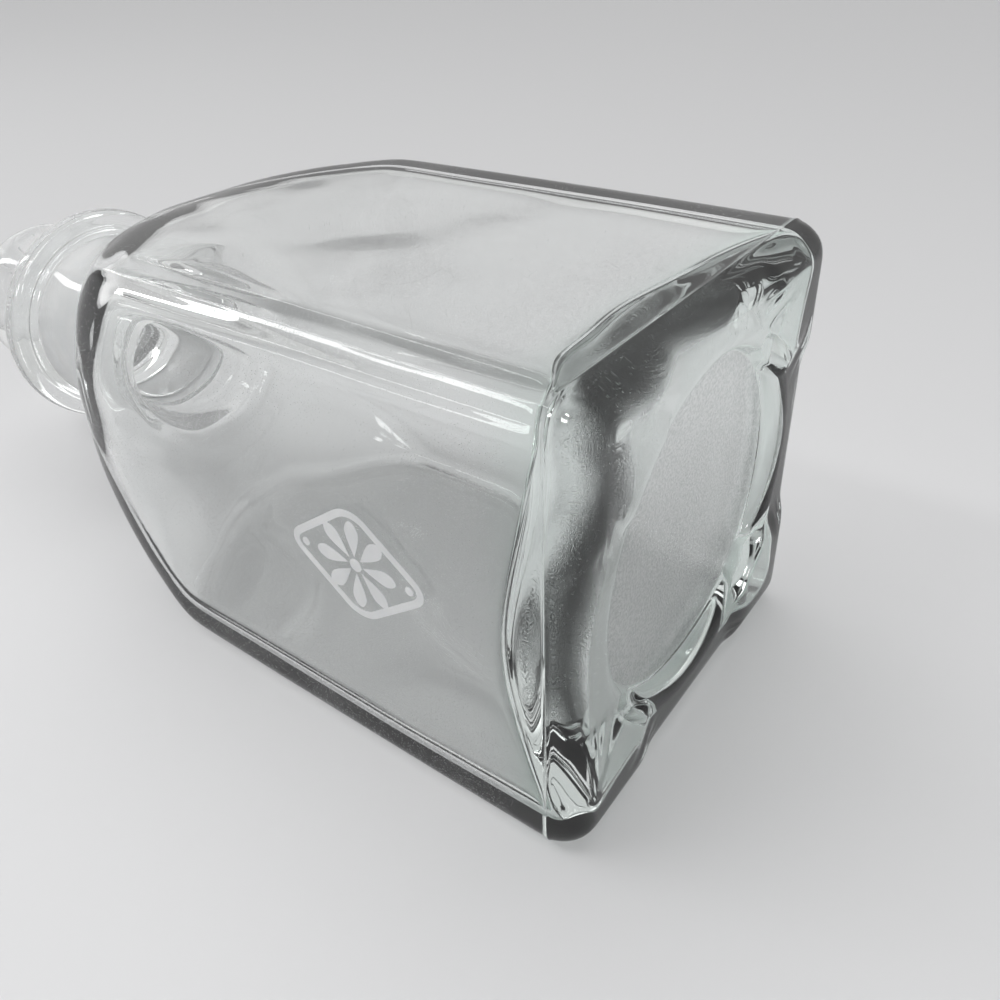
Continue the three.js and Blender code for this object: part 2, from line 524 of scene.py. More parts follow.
@dataclass
class DecanterBody:
    """The blown glass body: underside, heel, sides, shoulder, neck, lip, bore and inside."""

    base_half: float = 44.74
    shoulder_start: float = 112.0
    neck_start: float = 139.0
    side_taper: float = 1.15
    side_taper_power: float = 1.5
    side_lead: float = 1.2
    foot_corner: float = 4.4
    least_corner: float = 1.0
    corner_sharpening: float = 1.4
    corner_lead: float = 9.0
    shoulder_rise_power: float = 2.65
    shoulder_width_power: float = 3.0
    heel_height: float = 6.5
    heel_inset: float = 5.78
    heel_turn: float = 0.84
    bar_land: float = 2.2
    bar_rise: float = 1.25
    bar_half_angle: float = 37.0
    bar_end_slant: float = 0.95
    bar_end_lead: float = 3.0
    bar_fade: float = 2.4
    land_shares: Shares = (0.12, 0.5, 0.85)
    recess_depth: float = 5.0
    recess_slope: float = 4.3
    recess_fillet: float = 1.0
    recess_crown: float = 0.4
    recess_shares: Shares = (0.06, 0.2, 0.36, 0.52, 0.68, 0.82, 0.93)
    rim_shares: Shares = (0.945, 0.985, 1.0)
    side_wall: float = 3.2
    shoulder_wall: float = 4.0
    floor_centre: float = 14.5
    floor_fall: float = 9.0
    floor_fall_power: float = 4.65
    floor_fillet: float = 2.6
    floor_squareness: float = 0.85
    floor_shares: Shares = (0.93, 0.84, 0.74, 0.62, 0.48, 0.33, 0.18, 0.06)
    floor_lumps: tuple[tuple[float, float, float, float], ...] = (
        (38.0, -13.0, 2.6, 15.0),
        (39.0, -32.0, 3.6, 9.5),
        (-4.0, -40.0, 2.8, 19.0),
    )
    inside_corner_gain: float = 3.2
    bore_radius: float = 17.2
    bore_taper: float = 1.1
    bore_foot: float = 153.5
    bore_shares: Shares = (0.06, 0.25, 0.5, 0.75, 0.94)
    throat_radius: float = 17.0
    throat_step: float = 1.3
    throat_flare: float = 7.2
    neck_wall: float = 4.8
    neck_fillet: float = 3.0
    neck_shares: Shares = (0.12, 0.38, 0.62, 0.88)
    flare_height: float = 8.0
    flare_out: float = 2.8
    flange_step: tuple[Span, ...] = ((0.15, 0.15), (0.3, 0.75))
    lip_overhang: float = 4.4
    lip_thickness: float = 5.5
    lip_shares: Shares = (0.3, 0.75)
    flare_step: float = 0.9
    lip_height: float = 186.0
    mouth_round: float = 1.5
    fin: float = 0.24
    fin_half_width: float = 0.28
    fin_root: float = 0.05
    seam_fin: float = 0.15
    neck_seam_share: float = 0.25
    lip_seam_share: float = 0.6
    inside_wave: float = 0.34
    wave_lead: float = 18.0
    wave_scales: Span = (0.034, 0.085)
    wave_start: Point = (3.1, 7.7, 1.9)
    fine_wave_share: float = 0.4
    shoulder_calm: float = 0.6
    ground_overlap: float = 0.4
    stipple_overlap: float = 0.3
    level_share: float = 0.8
    octant_steps: int = 18
    stage_rings: int = 14
    corner_crowding: float = 1.75
    piece: Piece | None = None

    @property
    def foot_half(self) -> float:
        """Half width of the standing plane's outer edge."""
        return self.base_half - self.heel_inset

    @property
    def rim_radius(self) -> float:
        """Radius of the recess at the standing plane."""
        return self.foot_half - self.bar_land

    @property
    def recess_floor_radius(self) -> float:
        """Radius of the flat of the recess."""
        return self.rim_radius - self.recess_slope - self.recess_fillet

    @property
    def neck_radius(self) -> float:
        """Radius of the neck's outside."""
        return self.bore_radius + self.neck_wall

    @property
    def flare_radius(self) -> float:
        """Radius of the flare under the lip's flange."""
        return self.neck_radius + self.flare_out

    @property
    def lip_flat_radius(self) -> float:
        """Radius of the lip's flat top, where its rounded edge begins."""
        return self.flare_radius + self.lip_overhang - self.lip_thickness / 2

    @property
    def bore_top(self) -> float:
        """Height at which the mouth's rounded edge ends and the ground bore begins."""
        return self.lip_height - self.mouth_round

    @property
    def throat_foot(self) -> float:
        """Height at which the throat below the bore meets the inside of the shoulder."""
        return self.neck_start - self.shoulder_wall

    def side_half(self, height: float) -> float:
        """Half width of the outside at a height between the heel and the shoulder."""
        share = max((height - self.heel_height) / (self.shoulder_start - self.heel_height), 0.0)
        return self.base_half - self.side_taper * share**self.side_taper_power

    def corner_radius(self, height: float, half: float, skin: Skin) -> float:
        """Corner radius of a ring, which sharpens up the sides and then grows until the ring is round.

        Args:
            height: The ring's height.
            half: The ring's half width.
            skin: The surface that the ring is on.

        Returns:
            The corner radius.
        """
        lead = self.shoulder_start - self.corner_lead
        share = min(max((height - self.heel_height) / (lead - self.heel_height), 0.0), 1.0)
        square = skin.corner - self.corner_sharpening * share
        return square + (half - square) * smooth_step(lead, skin.end_height, height)

    def bar_share(self, x: float, y: float) -> float:
        """How much a place on the foot belongs to a bar, from 0 on a corner pad to 1 on the bar.

        The bars end in a slant, so they are longer along the recess than along the outer edge.
        """
        aside = math.degrees(math.atan2(min(abs(x), abs(y)), max(abs(x), abs(y))))
        beyond = math.hypot(x, y) - self.rim_radius + self.bar_end_lead
        end = self.bar_half_angle - self.bar_end_slant * beyond
        return 1 - smooth_step(end - self.bar_fade, end, aside)

    def foot_lift(self, height: float) -> Lift:
        """The bars' lift off the standing plane at a height, which fades out up to the parting line."""
        fade = max(1 - height / self.heel_height, 0.0) ** 2
        return lambda x, y: self.bar_rise * self.bar_share(x, y) * fade

    def recess_lift(self, radius: float, height: float) -> Lift:
        """What changes the rounded recess wall into a cove with a crisp edge along the corner pads.

        Args:
            radius: The ring's radius.
            height: The height of the rounded wall there.

        Returns:
            The lift, which is the bars' own lift where the wall stays rounded.
        """
        depth = min((self.rim_radius - radius) / (self.recess_slope + self.recess_fillet), 1.0)
        cove = self.recess_depth * math.sqrt(1 - (1 - depth) ** 2) - height
        bar = self.foot_lift(height)
        return lambda x, y: bar(x, y) + cove * (1 - self.bar_share(x, y))

    def floor_lift(self, lift: float, corner_reach: float) -> Lift:
        """The domed and lumpy shape of the inside floor over the height of its middle.

        Args:
            lift: What the fillet along the walls adds.
            corner_reach: The distance from the axis to the floor's corners.

        Returns:
            The lift.
        """

        def height_over_centre(x: float, y: float) -> float:
            fall = self.floor_fall * (math.hypot(x, y) / corner_reach) ** self.floor_fall_power
            lumps = sum(
                rise * math.exp(-((x - lump_x) ** 2 + (y - lump_y) ** 2) / spread**2)
                for lump_x, lump_y, rise, spread in self.floor_lumps
            )
            return lift - fall + lumps

        return height_over_centre

    def underside(self) -> list[Ring]:
        """Rings of the recess and its slope, from the middle out to the standing plane."""
        flat = self.recess_floor_radius
        rings = []
        for share in self.recess_shares:
            crown = self.recess_crown * (1 - share**2)
            rings.append(Ring.round(flat * share, self.recess_depth + crown))
        outline = bend((flat, self.recess_depth), (self.recess_fillet, -self.recess_fillet), 4)
        for share in (*steps(8, 1)[:-1], *self.rim_shares):
            angle = (1 - share) * QUARTER
            height = (self.recess_depth - self.recess_fillet) * (1 - math.cos(angle))
            outline.append((self.rim_radius - self.recess_slope * math.sin(angle), height))
        for radius, height in outline:
            rings.append(Ring.round(radius, height, self.recess_lift(radius, height)))
        for share in self.land_shares:
            half = self.rim_radius + self.bar_land * share
            corner = half * (1 - share) + self.foot_corner * share
            rings.append(Ring(half, corner, 0.0, self.foot_lift(0.0)))
        return rings

    def heel(self) -> list[Ring]:
        """Rings of the rounded bottom edge, up to the parting line with its thin fin."""
        foot_corner = max(self.foot_corner - self.heel_inset / 2, self.least_corner)
        full_turn = self.heel_turn * QUARTER
        rings = []
        for share in steps(9)[:-1]:
            out = math.sin(share * full_turn) / math.sin(full_turn)
            height = self.heel_height * (1 - math.cos(share * full_turn)) / (1 - math.cos(full_turn))
            half = self.foot_half + self.heel_inset * out
            corner = foot_corner + (self.foot_corner - foot_corner) * out
            rings.append(Ring(half, corner, height, self.foot_lift(height)))
        half, corner, middle = self.foot_half + self.heel_inset, self.foot_corner, self.heel_height
        rings.append(Ring(half - self.fin_root, corner, middle - self.fin_half_width))
        rings.append(Ring(half + self.fin, corner + self.fin, middle, seam=self.seam_fin))
        rings.append(Ring(half, corner, middle + self.fin_half_width, seam=self.seam_fin))
        return rings

    def sides(self, low: float, skin: Skin) -> list[Ring]:
        """Rings of the four sides.

        Args:
            low: The height of the lowest ring.
            skin: The surface that they are on.

        Returns:
            The rings, upwards.
        """
        lead = self.shoulder_start - self.corner_lead
        heights = [low + (lead - low) * share for share in steps(11)]
        heights += [lead + self.corner_lead * share for share in steps(3, 1)]
        rings = []
        for height in heights:
            half = self.side_half(height) - skin.wall
            corner = self.corner_radius(height, half, skin)
            seam = skin.seam * (1 - smooth_step(lead, self.shoulder_start, height))
            wave = skin.wave * smooth_step(low, low + self.wave_lead, height)
            rings.append(Ring(half, corner, height, seam=seam, wave=wave))
        return rings

    def shoulder(self, skin: Skin) -> list[Ring]:
        """Rings of the pillow shoulder.

        Args:
            skin: The surface that they are on.

        Returns:
            The rings, upwards.
        """
        start_half = self.base_half - self.side_taper - skin.wall
        rings = []
        for share in steps(17, 1):
            angle = share * QUARTER
            rise = math.sin(angle) ** (2 / self.shoulder_rise_power)
            width = max(math.cos(angle), 0.0) ** (2 / self.shoulder_width_power) if share < 1 else 0.0
            half = skin.end_radius + (start_half - skin.end_radius) * width
            height = self.shoulder_start + (skin.end_height - self.shoulder_start) * rise
            wave = skin.wave * (1 - self.shoulder_calm * share)
            rings.append(Ring(half, self.corner_radius(height, half, skin), height, wave=wave))
        return rings

    def neck(self) -> list[Ring]:
        """Rings of the neck's outside, its flare and the flanged lip."""
        seam = self.seam_fin * self.neck_seam_share
        neck, fillet = self.neck_radius, self.neck_fillet
        flare_top = self.lip_height - self.lip_thickness - self.flare_step
        low, high = self.neck_start + fillet, flare_top - self.flare_height
        edge = self.lip_thickness / 2
        outline = bend((neck + fillet, self.neck_start), (-fillet, fillet), 5, 1)
        outline += [(neck, low + (high - low) * share) for share in self.neck_shares]
        outline += bend((self.flare_radius, flare_top), (-self.flare_out, -self.flare_height), 7)[::-1]
        outline += [(self.flare_radius + out, flare_top + rise) for out, rise in self.flange_step]
        rings = [Ring.round(radius, height, seam=seam) for radius, height in outline]
        for share in steps(10):
            angle = (share - 0.5) * math.pi
            radius = self.lip_flat_radius + edge * math.cos(angle)
            height = self.lip_height - edge + edge * math.sin(angle)
            rings.append(Ring.round(radius, height, seam=seam * self.lip_seam_share))
        return rings

    def bore(self) -> list[Ring]:
        """Rings of the mouth, the ground bore and the throat that flares out below it, downwards."""
        bore, flat, mouth = self.bore_radius, self.lip_flat_radius, self.mouth_round
        top = self.bore_top
        foot_radius = bore - self.bore_taper
        throat_top = self.bore_foot - self.throat_step
        outline = [(flat + (bore + mouth - flat) * share, self.lip_height) for share in self.lip_shares]
        outline += bend((bore + mouth, self.lip_height), (-mouth, -mouth), 4)
        for share in self.bore_shares:
            outline.append((bore - self.bore_taper * share, top + (self.bore_foot - top) * share))
        for share in steps(3):
            radius = foot_radius + (self.throat_radius - foot_radius) * smooth_step(0, 1, share)
            outline.append((radius, self.bore_foot - self.throat_step * share))
        for sine, cosine in quarter(10, 1):
            radius = self.throat_radius + self.throat_flare * (1 - cosine)
            outline.append((radius, throat_top - (throat_top - self.throat_foot) * sine))
        return [Ring.round(radius, height) for radius, height in outline]

    def inside(self) -> list[Ring]:
        """Rings of the inside, from the throat's foot down the walls to the domed floor's middle."""
        corner = self.foot_corner + self.inside_corner_gain
        wall_half = self.side_half(self.floor_centre) - self.side_wall
        corner_reach = (wall_half - corner) * math.sqrt(2) + corner
        end_radius = self.throat_radius + self.throat_flare
        skin = Skin(self.side_wall, corner, end_radius, self.throat_foot, wave=self.inside_wave)
        rings = self.shoulder(skin)[::-1][1:]
        rings += self.sides(self.floor_centre + self.floor_fillet * 2, skin)[::-1]
        for sine, cosine in quarter(6):
            inset = self.floor_fillet * (1 - cosine)
            lift = self.floor_lift(self.floor_fillet * (1 - sine), corner_reach)
            rings.append(Ring(wall_half - inset, corner - inset, self.floor_centre, lift))
        for share in self.floor_shares:
            half = (wall_half - self.floor_fillet) * share
            corner = half * (1 - share * self.floor_squareness)
            rings.append(Ring(half, corner, self.floor_centre, self.floor_lift(0.0, corner_reach)))
        return rings

    def rings(self) -> list[Ring]:
        """All rings, from the middle of the recess round to the middle of the inside floor."""
        end_radius = self.neck_radius + self.neck_fillet
        skin = Skin(0.0, self.foot_corner, end_radius, self.neck_start, seam=self.seam_fin)
        return [
            *self.underside(),
            *self.heel(),
            *self.sides(self.heel_height + self.side_lead, skin),
            *self.shoulder(skin),
            *self.neck(),
            *self.bore(),
            *self.inside(),
        ]

    def reach(self, half: float, corner: float, angle: float) -> float:
        """Distance from the axis to a rounded square.

        Args:
            half: Its half width.
            corner: Its corner radius.
            angle: The angle from a side's middle, in radians up to an eighth of a turn.

        Returns:
            The distance.
        """
        flat = half - corner
        if half * math.tan(angle) <= flat:
            return half / math.cos(angle)
        along = flat * (math.cos(angle) + math.sin(angle))
        aside = flat * (math.cos(angle) - math.sin(angle))
        return along + math.sqrt(max(corner * corner - aside * aside, 0.0))

    def stir(self, place: Vector) -> float:
        """How far the waves of blown glass push a place out, from about -1 to 1."""
        wide, fine = self.wave_scales
        start = Vector(self.wave_start)
        return noise.noise(place * wide + start) + self.fine_wave_share * noise.noise(place * fine)

    def ring_points(self, ring: Ring) -> list[Vector]:
        """Places the points of a ring.

        Args:
            ring: The ring to place.

        Returns:
            Its points in metres, by rising angle from the +X axis.
        """
        corner = min(ring.corner, ring.half)
        roundness = corner / ring.half
        octant = self.octant_steps
        points = []
        for index in range(octant * 8):
            side, step = divmod(index, octant * 2)
            mirrored = step > octant
            even = (octant * 2 - step if mirrored else step) / octant
            crowded = 1 - (1 - even) ** self.corner_crowding
            angle = math.pi / 4 * (even * roundness + crowded * (1 - roundness))
            reach = self.reach(ring.half, corner, angle)
            if ring.seam and step == octant and side % 2 == 1:
                reach += ring.seam
            turn = side * QUARTER + (QUARTER - angle if mirrored else angle)
            place = Vector((reach * math.cos(turn), reach * math.sin(turn), ring.height))
            if ring.lift:
                place.z += ring.lift(place.x, place.y)
            if ring.wave:
                scale = 1 + ring.wave * self.stir(place) / reach
                place.x *= scale
                place.y *= scale
            points.append(place * MM)
        return points

    def extrude_stage(self, rings: list[Ring], close_start: bool, close_end: bool) -> Piece:
        """Extrudes one stage of the shell ring by ring from a circle.

        Args:
            rings: Its rings in order.
            close_start: Whether the first ring is closed over.
            close_end: Whether the last ring is closed over.

        Returns:
            The stage, open where it meets its neighbours.
        """
        stage = add_circle(self.octant_steps * 8, radius=rings[0].half * MM)
        edit_all(stage)
        bpy.ops.mesh.select_mode(type="EDGE")
        for index, ring in enumerate(rings):
            if index:
                rise = (ring.height - rings[index - 1].height) * MM
                bpy.ops.mesh.extrude_region_move(TRANSFORM_OT_translate={"value": (0, 0, rise)})
            net = bmesh.from_edit_mesh(stage.data)
            loose = [point for point in net.verts if point.select]
            loose.sort(key=turn_of)
            for point, place in zip(loose, self.ring_points(ring), strict=True):
                point.co = place
            if index == 0 and close_start:
                bpy.ops.mesh.edge_face_add()
                bpy.ops.mesh.poke()
                bpy.ops.mesh.select_all(action="DESELECT")
                bpy.ops.mesh.select_non_manifold(extend=False)
        if close_end:
            bpy.ops.mesh.edge_face_add()
            bpy.ops.mesh.poke()
        bpy.ops.mesh.select_mode(type="VERT")
        bpy.ops.object.mode_set(mode="OBJECT")
        return stage

    def build(self) -> None:
        """Builds the body's mesh stage by stage, joins it and refines it."""
        rings = self.rings()
        starts = list(range(0, len(rings) - 1, self.stage_rings))
        stages = []
        for start in starts:
            part = rings[start : start + self.stage_rings + 1]
            stages.append(self.extrude_stage(part, start == 0, start == starts[-1]))
        self.piece = settle(join_up(stages[0], stages), "body_glass_shell")
        clean_mesh(self.piece)
        subdivide_surface(self.piece)
        shade_smooth(self.piece)

    def place_of(self, centre: Vector, normal: Vector) -> Place:
        """Finds which finish a face of the body takes.

        Args:
            centre: The middle of the face, in metres.
            normal: Its outward direction.

        Returns:
            The part of the glass that the face belongs to.
        """
        radius = math.hypot(centre.x, centre.y) / MM
        height = centre.z / MM
        inward = normal.x * centre.x + normal.y * centre.y < 0
        if inward and radius < self.bore_radius + self.ground_overlap and height > self.bore_foot:
            return Place.GROUND
        in_recess = radius < self.recess_floor_radius + self.stipple_overlap
        if in_recess and height < self.recess_depth + 1 and normal.z < -self.level_share:
            return Place.STIPPLED
        return Place.CLEAR

    def dress(self, materials: dict[Place, Material]) -> None:
        """Gives each face of the body its finish.

        Args:
            materials: The material of each part of the glass.
        """
        mesh = self.piece.data
        for place in Place:
            mesh.materials.append(materials[place])
        for face in mesh.polygons:
            face.material_index = self.place_of(face.center, face.normal).value
        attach(self.piece, "decanter")
        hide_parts("decanter_body")


# The stopper


@dataclass
class BallStopper:
    """The solid glass stopper of a body: a ball on a waist and a ground plug."""

    body: DecanterBody
    plug_clearance: float = 0.3
    plug_length: float = 29.0
    plug_foot_round: float = 2.4
    plug_shoulder_round: float = 1.4
    plug_shares: Shares = (0.06, 0.35, 0.65, 0.94)
    foot_shares: Shares = (0.0, 0.3, 0.6)
    waist_inset: float = 4.0
    waist_rise: float = 3.2
    waist_curve: tuple[Span, ...] = ((0.9, 0.35), (0.12, 1.4))
    ball_radius: float = 21.35
    ground_shares: Span = (0.6, 0.4)
    steep_share: float = 0.6
    spin_steps: int = 96
    piece: Piece | None = None

    def plug_radius(self, height: float) -> float:
        """Radius of the plug at a height, which follows the bore's taper."""
        body = self.body
        share = (body.bore_top - height) / (body.bore_top - body.bore_foot)
        return body.bore_radius - body.bore_taper * share - self.plug_clearance

    def profile(self) -> list[Span]:
        """The outline from the foot of the plug to the top of the ball.

        Returns:
            Radius and height of each point.
        """
        top = self.body.bore_top
        foot = top - self.plug_length
        foot_radius = self.plug_radius(foot)
        top_radius = self.plug_radius(top)
        foot_round, shoulder_round = self.plug_foot_round, self.plug_shoulder_round
        waist = top_radius - self.waist_inset
        waist_top = self.body.lip_height + self.waist_rise
        centre = waist_top + math.sqrt(self.ball_radius**2 - waist**2)
        start = -math.acos(waist / self.ball_radius)
        points = [(foot_radius * share, foot) for share in self.foot_shares]
        points += bend((foot_radius - foot_round, foot), (foot_round, foot_round), 6)
        low, high = foot + foot_round, top - shoulder_round
        for share in self.plug_shares:
            height = low + (high - low) * share
            points.append((self.plug_radius(height), height))
        round_end = (top_radius - shoulder_round, top)
        points += bend(round_end, (shoulder_round, -shoulder_round), 5)[::-1]
        (wide, low_rise), (narrow, high_rise) = self.waist_curve
        points += [(waist + wide, top + low_rise), (waist + narrow, top + high_rise)]
        points += [(waist - narrow, (top + waist_top) / 2), (waist, waist_top - wide)]
        for share in steps(24)[:-1]:
            angle = start + (QUARTER - start) * share
            height = centre + self.ball_radius * math.sin(angle)
            points.append((self.ball_radius * math.cos(angle), height))
        return [*points, (0.0, centre + self.ball_radius)]

    def build(self) -> None:
        """Spins the stopper's outline into a mesh and refines it."""
        outline = self.profile()
        stopper = add_circle(3, radius=MM)
        edit_all(stopper)
        bpy.ops.mesh.merge(type="CENTER")
        net = bmesh.from_edit_mesh(stopper.data)
        net.verts.ensure_lookup_table()
        net.verts[0].co = (outline[0][0] * MM, 0, outline[0][1] * MM)
        for (radius, height), (last_radius, last_height) in zip(outline[1:], outline):
            move = ((radius - last_radius) * MM, 0, (height - last_height) * MM)
            bpy.ops.mesh.extrude_region_move(TRANSFORM_OT_translate={"value": move})
        bpy.ops.mesh.select_all(action="SELECT")
        bpy.ops.mesh.spin(steps=self.spin_steps, angle=math.tau, center=(0, 0, 0), axis=(0, 0, 1))
        bpy.ops.object.mode_set(mode="OBJECT")
        self.piece = settle(stopper, "stopper_glass_ball")
        clean_mesh(stopper, 2e-6)
        subdivide_surface(stopper)
        shade_smooth(stopper)

    def dress(self, materials: dict[Place, Material]) -> None:
        """Gives the ball and the plug their finishes.

        Args:
            materials: The material of each part of the glass.
        """
        mesh = self.piece.data
        for place in (Place.CLEAR, Place.GROUND):
            mesh.materials.append(materials[place])
        foot_share, top_share = self.ground_shares
        plug_top = self.body.bore_top
        top = (plug_top - self.plug_shoulder_round * top_share) * MM
        foot = (plug_top - self.plug_length + self.plug_foot_round * foot_share) * MM
        for face in mesh.polygons:
            ground = foot < face.center.z < top and abs(face.normal.z) < self.steep_share
            face.material_index = int(ground)
        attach(self.piece, "stopper")
        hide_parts("ball_stopper")


# The etched ornament


@dataclass
class EtchedRosette:
    """A plain rosette of petals in a lozenge, etched on the front of a body."""

    body: DecanterBody
    centre_x: float = 1.3
    centre_z: float = 45.7
    half_width: float = 13.0
    half_height: float = 17.5
    band: float = 1.5
    corner_round: float = 4.5
    corner_steps: int = 8
    petals: int = 8
    petal_length: float = 7.4
    petal_width: float = 3.1
    petal_gap: float = 0.5
    petal_foot: float = 0.25
    petal_swell: float = 1.25
    petal_most: float = 1.15
    hub: float = 1.35
    dot: float = 0.9
    dot_rise: float = 12.2
    thickness: float = 0.04
    proud: float = 0.035
    smooth_angle: float = 30.0
    piece: Piece | None = None

    def disc(self, name: str, sides: int, size: Span, rise: float = 0.0) -> Piece:
        """Makes a flat shape from a circle in the XZ plane.

        Args:
            name: Its name.
            sides: How many sides the circle has.
            size: Half its width and half its height.
            rise: How high its middle lies.

        Returns:
            The shape.
        """
        turn, place = (QUARTER, 0, 0), (0, 0, rise * MM)
        shape = add_circle(sides, radius=1.0, fill_type="NGON", rotation=turn, location=place)
        shape.scale = (size[0] * MM, size[1] * MM, 1)
        return settle(shape, name)

    def lozenge(self) -> Piece:
        """Makes the lozenge band from a square, with its corners rounded.

        Returns:
            The band, flat in the XZ plane round the origin.
        """
        band = self.disc("etched_band", 4, (self.half_width, self.half_height))
        edit_all(band)
        bpy.ops.mesh.bevel(offset=self.corner_round * MM, segments=self.corner_steps, affect="VERTICES")
        bpy.ops.mesh.select_all(action="SELECT")
        bpy.ops.mesh.inset(thickness=self.band * MM)
        bpy.ops.mesh.delete(type="FACE")
        bpy.ops.object.mode_set(mode="OBJECT")
        return band

    def petal(self, angle: float) -> Piece:
        """Makes one petal from a circle, pinched to a point at its foot.

        Args:
            angle: How far it is turned round the hub, in radians.

        Returns:
            The petal.
        """
        middle = self.hub + self.petal_gap + self.petal_length / 2
        petal = self.disc("etched_petal", 40, (self.petal_width / 2, self.petal_length / 2), middle)
        for point in petal.data.vertices:
            share = (point.co.z / MM - middle) / self.petal_length + 0.5
            point.co.x *= min(self.petal_foot + self.petal_swell * share, self.petal_most)
        bpy.ops.transform.rotate(value=angle, orient_axis="Y", center_override=(0, 0, 0))
        bpy.ops.object.transform_apply(location=True, rotation=True, scale=True)
        return petal

    def build(self) -> None:
        """Builds the ornament and lays it on the front side."""
        parts = [self.lozenge()]
        parts += [self.petal(index * math.tau / self.petals) for index in range(self.petals)]
        for rise in (-self.dot_rise, self.dot_rise):
            parts.append(self.disc("etched_dot", 24, (self.dot, self.dot), rise))
        rosette = join_up(self.disc("etched_hub", 32, (self.hub, self.hub)), parts)
        edit_all(rosette)
        bpy.ops.mesh.extrude_region_move(TRANSFORM_OT_translate={"value": (0, self.thickness * MM, 0)})
        bpy.ops.object.mode_set(mode="OBJECT")
        for point in rosette.data.vertices:
            depth = self.thickness - point.co.y / MM
            height = self.centre_z + point.co.z / MM
            front = self.body.side_half(height) + self.proud + depth
            point.co = Vector((self.centre_x + point.co.x / MM, -front, height)) * MM
        self.piece = settle(rosette, "etched_rosette")
        clean_mesh(rosette, 1e-7)

    def dress(self, material: Material) -> None:
        """Gives the ornament its etched finish."""
        self.piece.data.materials.append(material)
        shade_smooth(self.piece, self.smooth_angle)
        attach(self.piece, "decanter")


# The studio


@dataclass(frozen=True)
class Glow:
    """A soft bright patch of the world, brightest towards one way and fading out round it."""

    way: Point
    cosines: Span
    strength: float


@dataclass(frozen=True)
class Lamp:
    """A soft lamp, with its place and size in metres and its power in watts."""

    name: str
    place: Point
    size: Span
    power: float

    def hang(self, aim: Point) -> None:
        """Adds the lamp to the scene.

        Args:
            aim: What it points at, in metres.
        """
        lamp = bpy.data.lights.new(self.name, "AREA")
        lamp.shape = "RECTANGLE"
        lamp.size, lamp.size_y = self.size
        lamp.energy = self.power
        holder = bpy.data.objects.new(self.name, lamp)
        bpy.context.scene.collection.objects.link(holder)
        turn = (Vector(aim) - Vector(self.place)).to_track_quat("-Z", "Y").to_matrix().to_4x4()
        holder.matrix_world = Matrix.Translation(self.place) @ turn


